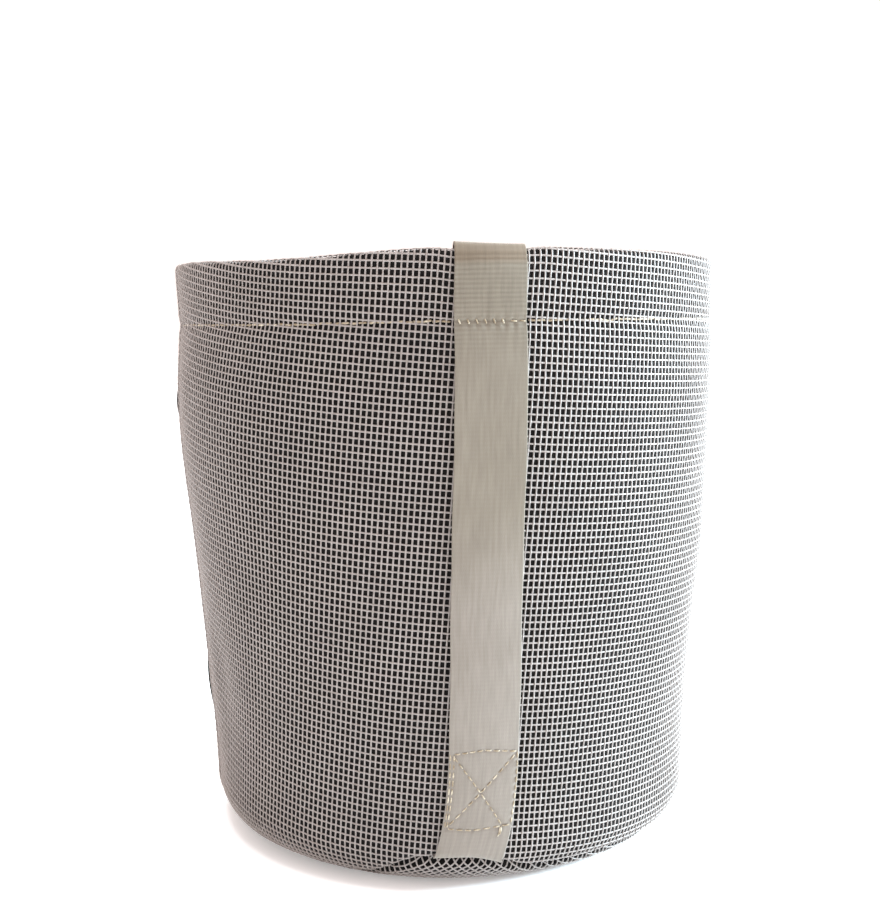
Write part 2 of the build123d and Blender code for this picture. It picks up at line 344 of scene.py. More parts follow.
def make_piece(name, points, face_groups, material, uvs=None):
    """A smooth-shaded mesh object whose faces all point outward."""
    points = np.asarray(points, float).reshape(-1, 3)
    groups = [np.asarray(g, np.int64) for g in face_groups if len(g)]
    if signed_volume(points, groups) < 0:
        groups = [g[:, ::-1] for g in groups]
    corners = np.concatenate([g.ravel() for g in groups])
    sizes = np.concatenate([np.full(len(g), g.shape[1]) for g in groups])
    starts = np.concatenate([[0], np.cumsum(sizes)[:-1]])
    mesh = bpy.data.meshes.new(name)
    mesh.vertices.add(len(points))
    mesh.vertices.foreach_set("co", points.astype(np.float32).ravel())
    mesh.loops.add(len(corners))
    mesh.loops.foreach_set("vertex_index", corners.astype(np.int32))
    mesh.polygons.add(len(sizes))
    mesh.polygons.foreach_set("loop_start", starts.astype(np.int32))
    mesh.polygons.foreach_set("use_smooth", np.ones(len(sizes), bool))
    if uvs is not None:
        layer = mesh.uv_layers.new(name="UVMap")
        layer.data.foreach_set("uv", np.asarray(uvs)[corners].astype(np.float32).ravel())
    mesh.update(calc_edges=True)
    mesh.validate()
    mesh.materials.append(material)
    piece = bpy.data.objects.new(name, mesh)
    bpy.context.scene.collection.objects.link(piece)
    return piece


def tubes(points, normals, inside, width, thickness, sides=6, twist=None):
    """Flattened closed tubes along rows of points, wherever inside is true.

    Returns the points and face groups. twist is an angle for each point, which turns a two-ply outline.
    """
    before = np.zeros_like(inside)
    after = np.zeros_like(inside)
    before[:, 1:] = inside[:, :-1]
    after[:, :-1] = inside[:, 1:]
    inside = inside & (before | after)
    along = np.empty_like(points)
    along[:, 1:-1] = points[:, 2:] - points[:, :-2]
    along[:, 0] = points[:, 1] - points[:, 0]
    along[:, -1] = points[:, -1] - points[:, -2]
    along /= np.maximum(np.linalg.norm(along, axis=-1, keepdims=True), 1e-12)
    across = np.cross(along, normals)
    across /= np.maximum(np.linalg.norm(across, axis=-1, keepdims=True), 1e-12)
    up = np.cross(across, along)
    angles = 2 * math.pi * np.arange(sides) / sides
    swell = np.ones((1, 1, sides))
    if twist is not None:
        swell = 1 + PLY_SWELL * np.cos(2 * (angles - twist[..., None]))
    wide = (width[..., None] / 2 * np.cos(angles) * swell)[..., None]
    tall = (thickness[..., None] / 2 * np.sin(angles) * swell)[..., None]
    rings = points[:, :, None] + across[:, :, None] * wide + up[:, :, None] * tall
    index = np.full(inside.shape, -1)
    index[inside] = np.arange(inside.sum())
    linked = inside[:, 1:] & inside[:, :-1]
    near = index[:, :-1][linked][:, None] * sides
    far = index[:, 1:][linked][:, None] * sides
    k = np.arange(sides)
    k_next = (k + 1) % sides
    quads = np.stack([near + k, far + k, far + k_next, near + k_next], axis=-1).reshape(-1, 4)
    starts = index[inside & ~before][:, None] * sides + k
    ends = index[inside & ~after][:, None] * sides + k[::-1]
    return rings[inside].reshape(-1, 3), [quads, np.concatenate([starts, ends])]


def joined(parts):
    """Several (points, face groups) as one, with the face groups kept by their number of corners."""
    points = []
    groups = {}
    count = 0
    for part_points, part_groups in parts:
        points.append(part_points)
        for faces in part_groups:
            groups.setdefault(faces.shape[1], []).append(faces + count)
        count += len(part_points)
    return np.concatenate(points), [np.concatenate(g) for g in groups.values()]


def grid_shell(top, bottom, wrap):
    """A closed shell between two grids of points, whose first axis may wrap round."""
    rows, columns = top.shape[:2]
    index = np.arange(rows * columns).reshape(rows, columns)
    if wrap:
        index = np.concatenate([index, index[:1]])
    faces = np.stack([index[:-1, :-1], index[1:, :-1], index[1:, 1:], index[:-1, 1:]], axis=-1)
    faces = faces.reshape(-1, 4)
    under = rows * columns
    groups = [faces, faces[:, ::-1] + under]
    rims = [index[:, 0], index[:, -1][::-1]]
    if not wrap:
        rims += [index[0][::-1], index[-1]]
    for rim in rims:
        groups.append(np.stack([rim[:-1], rim[:-1] + under, rim[1:] + under, rim[1:]], axis=-1))
    return np.concatenate([top.reshape(-1, 3), bottom.reshape(-1, 3)]), [np.concatenate(groups)]


# ---- Materials ----


class Nodes:
    """A new node material and short calls to add nodes to it."""

    def __init__(self, name):
        self.material = bpy.data.materials.new(name)
        self.material.use_nodes = True
        self.tree = self.material.node_tree
        self.shader = self.tree.nodes["Principled BSDF"]
        self.coordinates = self.add("ShaderNodeTexCoord")

    def add(self, kind, **values):
        node = self.tree.nodes.new(kind)
        for key, value in values.items():
            setattr(node, key, value)
        return node

    def link(self, source, target):
        self.tree.links.new(source, target)

    def noise(self, vector, scale, detail=4.0, roughness=0.6):
        node = self.add("ShaderNodeTexNoise")
        node.inputs["Scale"].default_value = scale
        node.inputs["Detail"].default_value = detail
        node.inputs["Roughness"].default_value = roughness
        self.link(vector, node.inputs["Vector"])
        return node.outputs["Fac"]

    def stretch(self, vector, scale):
        """A vector scaled by a number for each axis."""
        node = self.add("ShaderNodeMapping")
        node.inputs["Scale"].default_value = scale
        self.link(vector, node.inputs["Vector"])
        return node.outputs["Vector"]

    def ramp(self, factor, *stops):
        """A colour from (place, colour) stops."""
        node = self.add("ShaderNodeValToRGB")
        ramp = node.color_ramp
        while len(ramp.elements) < len(stops):
            ramp.elements.new(0.5)
        for element, (place, colour) in zip(ramp.elements, stops):
            element.position = place
            element.color = (*colour, 1)
        self.link(factor, node.inputs["Fac"])
        return node.outputs["Color"]

    def math(self, kind, a, b):
        """One operation on two sockets or numbers."""
        node = self.add("ShaderNodeMath", operation=kind)
        for socket, value in zip(node.inputs, (a, b)):
            if isinstance(value, (int, float)):
                socket.default_value = value
            else:
                self.link(value, socket)
        return node.outputs[0]

    def between(self, value, low, high):
        """0 below low, 1 above high and even in between."""
        node = self.add("ShaderNodeMapRange")
        node.inputs["From Min"].default_value = low
        node.inputs["From Max"].default_value = high
        self.link(value, node.inputs["Value"])
        return node.outputs["Result"]

    def mix(self, factor, a, b, kind="MIX"):
        """A blend of two colours, each a socket or an RGB triple."""
        node = self.add("ShaderNodeMix", data_type="RGBA", blend_type=kind)
        for socket, value in ((node.inputs["Factor"], factor), (node.inputs[6], a), (node.inputs[7], b)):
            if isinstance(value, tuple):
                socket.default_value = (*value, 1)
            elif isinstance(value, (int, float)):
                socket.default_value = value
            else:
                self.link(value, socket)
        return node.outputs[2]

    def bump(self, height, strength, distance):
        node = self.add("ShaderNodeBump")
        node.inputs["Strength"].default_value = strength
        node.inputs["Distance"].default_value = distance
        self.link(height, node.inputs["Height"])
        self.link(node.outputs["Normal"], self.shader.inputs["Normal"])


def net_material():
    """Pale vinyl-coated yarn: smooth, slightly glossy, with faint dirt and uneven coating."""
    n = Nodes("coated_yarn")
    place = n.coordinates.outputs["Object"]
    patches = n.noise(place, 38.0, 3.0)
    specks = n.noise(place, 900.0, 2.0)
    base = n.ramp(patches, (0.3, (0.248, 0.219, 0.204)), (0.72, (0.29, 0.257, 0.241)))
    flecked = n.ramp(specks, (0.34, (0.80, 0.77, 0.74)), (0.55, (1.0, 1.0, 1.0)))
    n.link(n.mix(1.0, base, flecked, "MULTIPLY"), n.shader.inputs["Base Color"])
    rough = n.ramp(specks, (0.3, (0.36,) * 3), (0.7, (0.54,) * 3))
    n.link(rough, n.shader.inputs["Roughness"])
    n.shader.inputs["Specular IOR Level"].default_value = 0.45
    n.bump(specks, 0.35, 0.08 * MM)
    return n.material


def felt_material():
    """Black needle-punched felt: no gloss, a mat of short fibres."""
    n = Nodes("black_felt")
    place = n.coordinates.outputs["Object"]
    fibres = n.noise(n.stretch(place, (1.0, 1.0, 0.35)), 1400.0, 5.0, 0.75)
    swirls = n.noise(place, 210.0, 4.0, 0.7)
    clumps = n.noise(place, 30.0, 3.0)
    dark = n.ramp(fibres, (0.36, (0.003, 0.0026, 0.0024)), (0.68, (0.014, 0.012, 0.011)))
    matted = n.mix(n.math("MULTIPLY", clumps, 0.5), dark, (0.008, 0.007, 0.0065))
    n.link(matted, n.shader.inputs["Base Color"])
    n.link(n.ramp(swirls, (0.3, (0.9,) * 3), (0.7, (1.0,) * 3)), n.shader.inputs["Roughness"])
    n.shader.inputs["Specular IOR Level"].default_value = 0.12
    n.shader.inputs["Sheen Weight"].default_value = 0.06
    n.shader.inputs["Sheen Roughness"].default_value = 0.6
    n.bump(n.math("ADD", fibres, swirls), 0.8, 0.6 * MM)
    return n.material


def webbing_material():
    """Beige webbing: weft ribs across, warp threads along, painted shade in the weave's grooves, darker
    and warmer towards its upper part, and darker still from the fold over the rim on, with painted shade,
    a painted warm reflection and some dirt.

    Its UV coordinates are the distance across the strap and the length along the bag's profile.
    """
    n = Nodes("webbing")
    uv = n.coordinates.outputs["UV"]
    place = n.coordinates.outputs["Object"]
    split = n.add("ShaderNodeSeparateXYZ")
    n.link(uv, split.inputs[0])
    across, along = split.outputs["X"], split.outputs["Y"]
    wander = n.math("MULTIPLY", n.math("SUBTRACT", n.noise(uv, 160.0, 2.0), 0.5), 0.6 * MM)
    warp_turns = n.math("MULTIPLY", n.math("ADD", across, wander), 2 * math.pi / WARP_PITCH)
    warp = n.math("SINE", warp_turns, 0.0)
    weft_turns = n.math("MULTIPLY", n.math("ADD", along, wander), 2 * math.pi / RIB_PITCH)
    weft = n.math("COSINE", weft_turns, 0.0)
    crossed = n.math("MULTIPLY", n.math("MULTIPLY", warp, weft), 0.2)
    past_grip = n.math("SUBTRACT", along, float(outside_length(HEM_STITCH_HEIGHT - RIB_FADE)))
    ribbed = n.add("ShaderNodeClamp")
    ribbed.inputs["Min"].default_value = 0.12
    ribbed.inputs["Max"].default_value = 0.5
    n.link(n.math("MULTIPLY", past_grip, 0.65 / RIB_FADE), ribbed.inputs["Value"])
    weave = n.math("ADD", crossed, n.math("MULTIPLY", weft, ribbed.outputs[0]))
    streaks = n.noise(n.stretch(uv, (1.0, 0.07, 1.0)), 900.0, 3.0)
    fuzz = n.noise(place, 2600.0, 3.0)
    bands = n.noise(place, 24.0, 2.0)
    base = n.ramp(bands, (0.3, (0.204, 0.184, 0.160)), (0.7, (0.241, 0.221, 0.197)))
    shade = n.ramp(streaks, (0.25, (0.83, 0.81, 0.79)), (0.7, (1.05, 1.04, 1.03)))
    # Painted shade in the weave's grooves and a slight painted highlight on its ribs, following the
    # weave's height
    level = n.math("ADD", n.math("MULTIPLY", weave, 0.5), 0.5)
    weave_groove_shade = n.ramp(level, (0.0, (0.86, 0.84, 0.82)), (0.75, (1.03, 1.02, 1.01)))
    colour = n.mix(1.0, n.mix(1.0, base, shade, "MULTIPLY"), weave_groove_shade, "MULTIPLY")
    # Webbing darker and warmer from a height on the grip upward, over the rim and inside
    upper_tint = n.between(along, float(outside_length(UPPER_TINT_FROM)), float(outside_length(UPPER_TINT_TO)))
    colour = n.mix(upper_tint, colour, n.mix(1.0, colour, (0.81, 0.795, 0.73), "MULTIPLY"))
    # Painted shade, a painted warm reflection and some dirt: darker, pinker webbing from just below the
    # rim's top, over the fold and inside
    fold_shade_and_dirt = n.between(along, RIM_LENGTH - FOLD_SHADE_AND_DIRT_DEPTH, RIM_LENGTH - FOLD_SHADE_AND_DIRT_DEPTH + 2 * MM)
    colour = n.mix(fold_shade_and_dirt, colour, n.mix(1.0, colour, (0.84, 0.75, 0.68), "MULTIPLY"))
    n.link(colour, n.shader.inputs["Base Color"])
    n.link(n.ramp(fuzz, (0.3, (0.72,) * 3), (0.7, (0.9,) * 3)), n.shader.inputs["Roughness"])
    n.shader.inputs["Specular IOR Level"].default_value = 0.25
    n.shader.inputs["Sheen Weight"].default_value = 0.12
    n.shader.inputs["Sheen Roughness"].default_value = 0.5
    height = n.math("ADD", n.math("MULTIPLY", weave, 0.5), n.math("MULTIPLY", fuzz, 0.6))
    n.bump(height, 0.5, 0.12 * MM)
    return n.material


def thread_material():
    """Gold polyester thread with a soft shine, and painted shade and painted highlights in random patches
    along it.
    """
    n = Nodes("gold_thread")
    place = n.coordinates.outputs["Object"]
    patches = n.noise(place, 420.0, 2.0)
    fibres = n.noise(place, 5200.0, 2.0)
    # Dark and pale patches on the gold: painted shade and painted highlights
    base = n.ramp(
        patches,
        (0.32, (0.17, 0.12, 0.065)),
        (0.5, (0.26, 0.2, 0.125)),
        (0.7, (0.5, 0.44, 0.335)),
    )
    n.link(base, n.shader.inputs["Base Color"])
    n.link(n.ramp(fibres, (0.3, (0.42,) * 3), (0.7, (0.6,) * 3)), n.shader.inputs["Roughness"])
    n.shader.inputs["Sheen Weight"].default_value = 0.2
    n.bump(fibres, 0.4, 0.05 * MM)
    return n.material


NET = net_material()
FELT = felt_material()
WEBBING = webbing_material()
THREAD = thread_material()


# ---- The net ----


def yarns(place, inside, columns, rows):
    """A plain weave of flattened yarns on a flat grid.

    place turns flat coordinates into (azimuth, length, out), and inside says which of them are cloth.
    columns and rows are the whole numbers of the grid's lines.
    """
    parts = []
    for lines, crossings, line_pitch, cross_pitch, upright in (
        (columns, rows, COLUMN_PITCH, ROW_PITCH, True),
        (rows, columns, ROW_PITCH, COLUMN_PITCH, False),
    ):
        steps = np.arange(2 * crossings[0], 2 * crossings[-1] + 1)
        line, step = np.meshgrid(lines, steps, indexing="ij")
        fixed = line * line_pitch
        moving = step * cross_pitch / 2
        flat_x, flat_y = (fixed, moving) if upright else (moving, fixed)
        crossing = step % 2 == 0
        over = np.where((line + step // 2) % 2 == 0, 1, -1) * (1 if upright else -1)
        azimuth, length, out = place(flat_x, flat_y)
        out = out + np.where(crossing, over * WEAVE_RISE, 0)
        uneven = 1 + YARN_UNEVENNESS * rng.standard_normal(line.shape)
        width = YARN_WIDTH * np.where(crossing, 1 + KNOT_SWELL, 1 - KNOT_SWELL) * uneven
        thickness = YARN_THICKNESS * np.ones_like(width)
        points = cloth(azimuth, length, out)
        normals = cloth_normal(azimuth, length, out)
        parts.append(tubes(points, normals, inside(azimuth, length, flat_x, flat_y), width, thickness))
    return joined(parts)


SEAM_TURN = 1.3 * MM  # how much of each edge is turned in at the base seam
CONE_LENGTH = FOOT_RADIUS / CONE_SINE  # from the flat pattern's centre to the foot of the wall
WALL_START = CORNER_LENGTH + 1.5 * MM


def looseness(z):
    """Where the side seam's raw edge stands away from the bag, from 0 to 1."""
    return 0.6 * bump(z, 222 * MM, 8 * MM) + bump(z, 177 * MM, 11 * MM) + bump(z, 56 * MM, 19 * MM)


def lap_lift(azimuth, z):
    """How far the wall panel's front end stands out where it laps over the rear end at the side seam."""
    past = -math.pi - azimuth
    on_top = smoothstep((past + 1.3 * LAP) / (0.8 * LAP)) * (azimuth < 0)
    beneath = smoothstep((azimuth - math.pi + 1.3 * LAP) / (0.8 * LAP)) * (azimuth > 0)
    free = smoothstep((past - 0.3 * LAP) / (0.7 * LAP)) * (azimuth < 0)
    return (0.8 * on_top - 0.4 * beneath + 1.5 * free * looseness(z)) * MM


def wall_place(flat_x, flat_y):
    """Wraps the wall's flat cone pattern round the bag. Its grid is square to the generator at +X."""
    reach = np.hypot(flat_x, flat_y)
    azimuth = np.arctan2(flat_x, flat_y) / CONE_SINE
    length = WALL_START + reach - CONE_LENGTH
    seam = seam_length(azimuth)
    turned_in = np.clip(seam - length, 0, None)
    length = np.maximum(length, seam)
    return azimuth, length, lap_lift(azimuth, height_at(length)) - turned_in


def wall_inside(azimuth, length, flat_x, flat_y):
    """Whether flat points are on the wall panel, between its raw edges."""
    raw = WALL_START + np.hypot(flat_x, flat_y) - CONE_LENGTH
    low = raw > seam_length(azimuth) - SEAM_TURN
    return low & (raw < END_LENGTH) & (np.abs(azimuth) < math.pi + LAP)


def base_place(flat_x, flat_y):
    """Lays the base's pattern, turned 45 degrees, with its edge turned in at the base seam."""
    reach = np.hypot(flat_x, flat_y)
    azimuth = np.arctan2(flat_y, flat_x) + math.pi / 4
    seam = seam_length(azimuth)
    turned_in = np.clip(reach - seam, 0, None)
    return azimuth, np.minimum(reach, seam), -turned_in


def base_inside(azimuth, length, flat_x, flat_y):
    """Whether flat points are on the base panel."""
    return np.hypot(flat_x, flat_y) < seam_length(azimuth) + SEAM_TURN


DISC_RADIUS = seam_length(np.array([FRONT])).item()
WALL_LENGTH = END_LENGTH - WALL_START
HALF_FAN = (math.pi + LAP) * CONE_SINE  # half the angle of the wall's flat pattern

half_columns = int((CONE_LENGTH + WALL_LENGTH) * math.sin(HALF_FAN) / COLUMN_PITCH) + 1
first_row = int(CONE_LENGTH * math.cos(HALF_FAN) / ROW_PITCH) - 1
last_row = int((CONE_LENGTH + WALL_LENGTH) / ROW_PITCH) + 1
columns = np.arange(-half_columns, half_columns + 1)
rows = np.arange(first_row, last_row + 1)
wall_net = make_piece("wall_net", *yarns(wall_place, wall_inside, columns, rows), NET)

half_columns = int(DISC_RADIUS / COLUMN_PITCH) + 2
half_rows = int(DISC_RADIUS / ROW_PITCH) + 2
columns = np.arange(-half_columns, half_columns + 1)
rows = np.arange(-half_rows, half_rows + 1)
base_net = make_piece("base_net", *yarns(base_place, base_inside, columns, rows), NET)


# ---- The felt liner ----

# Columns of the felt's mesh, a degree apart and closer at both edges of its lap
FELT_AZIMUTHS = np.radians(
    np.unique(np.concatenate([np.arange(0, 360, 1.0), [176.6, 176.9, 183.1, 183.4]]))
)
FOLLOWS_SEAM = CORNER_LENGTH + 27 * MM  # profile length below which its rows follow the base seam
BELOW_RIM = RIM_LENGTH - 4 * MM


def felt_shell(length):
    """A closed felt layer over a grid of profile lengths, with its lap at the side seam inside."""
    azimuth = FELT_AZIMUTHS[:, None] + np.zeros_like(length)
    wool = 0.09 * MM * rng.standard_normal(azimuth.shape)
    lap = FELT_LAP * (np.abs(np.degrees(azimuth) - 180) < FELT_LAP_HALF)
    hem_room = smoothstep((RIM_LENGTH - 3 * MM - length) / (4 * MM))
    in_hem = length > RIM_LENGTH - HEM_HALF
    back = np.where(in_hem, FELT_BEHIND_HEM, FELT_THICKNESS + wool + lap * hem_room)
    top = cloth(azimuth, length, np.full_like(azimuth, FELT_OUT))
    bottom = cloth(azimuth, length, FELT_OUT - back)
    return grid_shell(top, bottom, wrap=True)


def felt_lap_edge():
    """The felt's raw edge, which shows past the net's where the panel's front end laps over."""
    azimuths = -math.pi - LAP * np.linspace(0.5, 1.13, 8)
    lengths = np.linspace(FOLLOWS_SEAM, BELOW_RIM, 180)
    azimuth, length = np.meshgrid(azimuths, lengths, indexing="ij")
    z = height_at(length)
    curl = smoothstep((-math.pi - 0.8 * LAP - azimuth) / (0.3 * LAP)) * (0.5 + 1.2 * looseness(z))
    out = lap_lift(azimuth, z) - 0.5 * MM + curl * MM
    ragged = 0.12 * MM * rng.standard_normal(azimuth.shape)
    top = cloth(azimuth, length, out)
    bottom = cloth(azimuth, length, out - 0.6 * MM + ragged)
    return grid_shell(top, bottom, wrap=False)


felt_seam = seam_length(FELT_AZIMUTHS)[:, None]
wall_rows = np.concatenate(
    [
        np.linspace(FOLLOWS_SEAM + 1.5 * MM, BELOW_RIM, 96),
        np.linspace(RIM_LENGTH - 3.4 * MM, RIM_LENGTH + 3.4 * MM, 15),
        np.linspace(RIM_LENGTH + 5 * MM, END_LENGTH - 0.8 * MM, 14),
    ]
)
low_rows = felt_seam + 0.3 * MM + (FOLLOWS_SEAM - felt_seam) * np.linspace(0, 1, 30)
wall_rows = np.concatenate([low_rows, wall_rows + 0 * felt_seam], axis=1)
liner_wall = make_piece("liner_wall_felt", *joined([felt_shell(wall_rows), felt_lap_edge()]), FELT)


def felt_disc():
    """The felt base: a dished disc, whose edge stands up inside the base seam as its allowance."""
    inner = 1.2 * MM + (felt_seam - 7.2 * MM) * np.linspace(0, 1, 52)
    past = np.linspace(-ALLOWANCE_START, ALLOWANCE_LENGTH, 28)
    length = np.concatenate([inner, felt_seam + past], axis=1)
    azimuth = FELT_AZIMUTHS[:, None] + np.zeros_like(length)
    wool = 0.1 * MM * rng.standard_normal(azimuth.shape)
    ridge = ALLOWANCE_STEP * smoothstep((length - felt_seam + ALLOWANCE_START) / (4 * MM))
    out = FELT_OUT - ridge + seam_pinch(azimuth, length)
    top = cloth(azimuth, length, out)
    bottom = cloth(azimuth, length, out - FELT_THICKNESS - wool)
    points, groups = grid_shell(top, bottom, wrap=True)
    # The shell's small hole at the middle loses its wall and gets a cap at each side instead
    rows = length.shape[1]
    ring = np.arange(len(FELT_AZIMUTHS)) * rows
    shell = groups[0][(groups[0] % rows != 0).any(axis=1)]
    caps = np.stack([ring[::-1], ring + length.size])
    return points, [shell, caps]


liner_base = make_piece("liner_base_felt", *felt_disc(), FELT)


# ---- Webbing straps ----

REST_GAP = 0.35 * MM  # webbing to net, where it is sewn
FREE_GAP = 0.75 * MM  # more of it along the free span
FREE_RAMP = 30 * MM  # over which the gap opens from each sewn end
RIM_REACH = 6 * MM  # how far from the rim's top its own shaping fades
STRAP_TOP = float(inside_length(HEM_STITCH_HEIGHT - 2.2 * MM))  # profile length to its cut end
GRIP_MIDDLE = (HEM_STITCH_HEIGHT + BOX_TOP) / 2
HALF_WIDTH = WEBBING_WIDTH / 2

HEM_STEP = 3.0 * MM  # between hem stitches on a strap

# The box stitch on a strap, as runs between (across, height) points
BOX_LEFT = -HALF_WIDTH + 1.7 * MM
BOX_EDGE = HALF_WIDTH - 0.5 * MM
BOX_RUNS = [
    ((BOX_LEFT, BOX_TOP - 1.6 * MM), (0, BOX_TOP - 0.4 * MM)),
    ((0, BOX_TOP - 0.4 * MM), (BOX_EDGE, BOX_TOP - 1.4 * MM)),
    ((BOX_EDGE, BOX_TOP - 1.4 * MM), (BOX_EDGE, BOX_BOTTOM + 0.8 * MM)),
    ((BOX_EDGE, BOX_BOTTOM + 0.8 * MM), (-1.5 * MM, BOX_BOTTOM - 0.9 * MM)),
    ((-1.5 * MM, BOX_BOTTOM - 0.9 * MM), (BOX_LEFT, BOX_BOTTOM)),
    ((BOX_LEFT, BOX_BOTTOM), (BOX_LEFT + 0.2 * MM, BOX_TOP - 1.6 * MM)),
    ((-BOX_EDGE, BOX_TOP - 1.2 * MM), (-BOX_EDGE + 0.4 * MM, BOX_BOTTOM)),
    ((BOX_LEFT, BOX_TOP - 2.4 * MM), (BOX_EDGE - 3.4 * MM, BOX_BOTTOM + 0.9 * MM)),
    ((BOX_EDGE - 0.8 * MM, BOX_TOP - 2.4 * MM), (BOX_LEFT + 0.3 * MM, BOX_BOTTOM + 1.2 * MM)),
]


def run_distance(across, z, start, end):
    """Distance in the strap's face from points to a straight run."""
    run_x, run_z = end[0] - start[0], end[1] - start[1]
    share = ((across - start[0]) * run_x + (z - start[1]) * run_z) / (run_x**2 + run_z**2)
    share = np.clip(share, 0, 1)
    return np.hypot(across - start[0] - share * run_x, z - start[1] - share * run_z)


def strap_gap(length):
    """Gap behind the webbing: none over the rim, small at its stitching, wider over the free span."""
    z = height_at(length)
    free = smoothstep((HEM_STITCH_HEIGHT - z) / FREE_RAMP) * smoothstep((z - BOX_TOP) / FREE_RAMP)
    free = free * (length < RIM_LENGTH)
    pressed = bump(length, RIM_LENGTH, RIM_REACH)
    return REST_GAP + FREE_GAP * free - REST_GAP * pressed


def strap_surface(centre, across, length, out):
    """Points on a strap, so far out from the middle of its thickness."""
    z = height_at(length)
    radius = np.interp(length, PROFILE_LENGTH, PROFILE[:, 0])
    edge_wave = 0.22 * MM * np.sin(z / (19 * MM) + centre) + 0.1 * MM * np.sin(z / (6 * MM))
    azimuth = centre + (across + strap_offset(z) + edge_wave) / radius
    flat = 0.45 * across**2 / (2 * radius)
    tilt = -0.5 * MM * across / HALF_WIDTH * bump(length, RIM_LENGTH, RIM_REACH)
    seam = seam_length(azimuth)
    turned_in = np.clip(seam - length, 0, None)
    lift = NET_HALF + strap_gap(length) + WEBBING_THICKNESS / 2 + flat + tilt
    lift = np.where(turned_in > 0, lift - turned_in * 1.1, lift)
    near_seam = smoothstep((seam + 4 * MM - length) / (5 * MM))
    lift = lift - 0.5 * MM * near_seam
    return cloth(azimuth, np.maximum(length, seam), lift + out)


def face_relief(across, length):
    """Height of a strap's outer face: ribs, stitch dents and the pucker at the hem."""
    z = height_at(length)
    upper = smoothstep((z - HEM_STITCH_HEIGHT + 12 * MM) / (14 * MM))
    ribs = (0.008 + 0.08 * upper) * MM * np.cos(2 * math.pi * length / RIB_PITCH)
    outside = length < RIM_LENGTH
    hem = bump(z, HEM_STITCH_HEIGHT, 1.5 * MM) * outside
    ruffle = bump(z, HEM_STITCH_HEIGHT - 0.6 * MM, 2.8 * MM) * outside
    relief = ribs - 0.4 * MM * hem
    relief = relief + 0.035 * MM * ruffle * np.cos(2 * math.pi * across / HEM_STEP)
    for start, end in BOX_RUNS:
        close = np.exp(-((run_distance(across, z, start, end) / (0.75 * MM)) ** 2))
        relief = relief - 0.24 * MM * close * outside
    return relief


def mark_sharp_caps(piece):
    """Keeps the shading of a strap's faces from rounding over at its cut ends."""
    mesh = piece.data
    largest = max(len(face.vertices) for face in mesh.polygons)
    cap_edges = {key for face in mesh.polygons if len(face.vertices) == largest for key in face.edge_keys}
    for edge in mesh.edges:
        edge.use_edge_sharp = edge.key in cap_edges


def strap_outline():
    """Once round the webbing's cross-section: (across, out, on the outer face) arrays."""
    samples = 74
    half = WEBBING_THICKNESS / 2
    turn = np.radians([70, 40, 10, -10, -40, -70])
    edge_across = HALF_WIDTH - EDGE_ROUND + EDGE_ROUND * np.cos(turn)
    edge_out = (half - EDGE_ROUND) * np.sign(turn) + EDGE_ROUND * np.sin(turn)
    flat = HALF_WIDTH - EDGE_ROUND
    outer = np.linspace(-flat, flat, samples)
    inner = np.linspace(flat, -flat, samples // 2)
    across = np.concatenate([outer, edge_across, inner, -edge_across])
    out = np.concatenate([np.full(samples, half), edge_out, np.full(len(inner), -half), -edge_out])
    face = np.concatenate([np.ones(samples), edge_out > 0, np.zeros(len(inner)), edge_out < 0])
    return across, out, face


def strap_piece(name, centre, lengths):
    """One length of a strap, as a closed ring-by-ring mesh with its own weave coordinates."""
    across, out, outer = strap_outline()
    count = len(across)
    ring_across, ring_length = np.meshgrid(across, lengths)
    relief = face_relief(ring_across, ring_length) * outer
    points = strap_surface(centre, ring_across, ring_length, out + relief)
    index = np.arange(len(lengths) * count).reshape(len(lengths), count)
    beside = np.roll(index, -1, axis=1)
    quads = np.stack([index[:-1], beside[:-1], beside[1:], index[1:]], axis=-1).reshape(-1, 4)
    caps = np.stack([index[0][::-1], index[-1]])
    uvs = np.stack([ring_across, ring_length], axis=-1).reshape(-1, 2)
    piece = make_piece(name, points.reshape(-1, 3), [quads, caps], WEBBING, uvs)
    mark_sharp_caps(piece)
    return piece


STRAP_STEP = 0.32 * MM
grip_length = float(outside_length(GRIP_MIDDLE))


def lengths_between(low, high):
    """Rows of a strap's mesh between two profile lengths."""
    return np.linspace(low, high, int((high - low) / STRAP_STEP) + 1)


strap_pieces = {}
for side_name, centre in (("front", FRONT), ("rear", REAR)):
    foot = seam_length(np.array([centre])).item() - STRAP_TUCK
    for half_name, low, high in (("upper", grip_length, STRAP_TOP), ("lower", foot, grip_length)):
        name = f"{side_name}_strap_{half_name}"
        strap_pieces[name] = strap_piece(name, centre, lengths_between(low, high))


# ---- Stitching ----

STITCH_STEPS = 9


def stitch_tubes(place, starts, ends, rise, dip, width=THREAD_WIDTH):
    """A bowed two-ply stitch for each pair of start and end points in a surface's own coordinates.

    rise is how far the middle of a stitch stands out, and dip how far its ends go in.
    """
    share = np.linspace(0, 1, STITCH_STEPS)[None, :]
    starts, ends = np.asarray(starts, float), np.asarray(ends, float)
    first = starts[:, :1] + (ends[:, :1] - starts[:, :1]) * share
    second = starts[:, 1:] + (ends[:, 1:] - starts[:, 1:]) * share
    bow = 1 - np.abs(2 * share - 1) ** 3
    out = -dip + (rise + dip) * bow * (1 + 0.12 * rng.standard_normal((len(starts), 1)))
    points = place(first, second, out)
    normals = place(first, second, out + 0.2 * MM) - points
    normals /= np.linalg.norm(normals, axis=-1, keepdims=True)
    inside = np.ones(points.shape[:2], bool)
    slim = width * (0.72 + 0.28 * bow) * np.ones(points.shape[:2])
    twist = np.linspace(0, 2.2 * math.pi, STITCH_STEPS)[None, :] + np.zeros(points.shape[:2])
    return tubes(points, normals, inside, slim, slim * 0.9, sides=8, twist=twist)


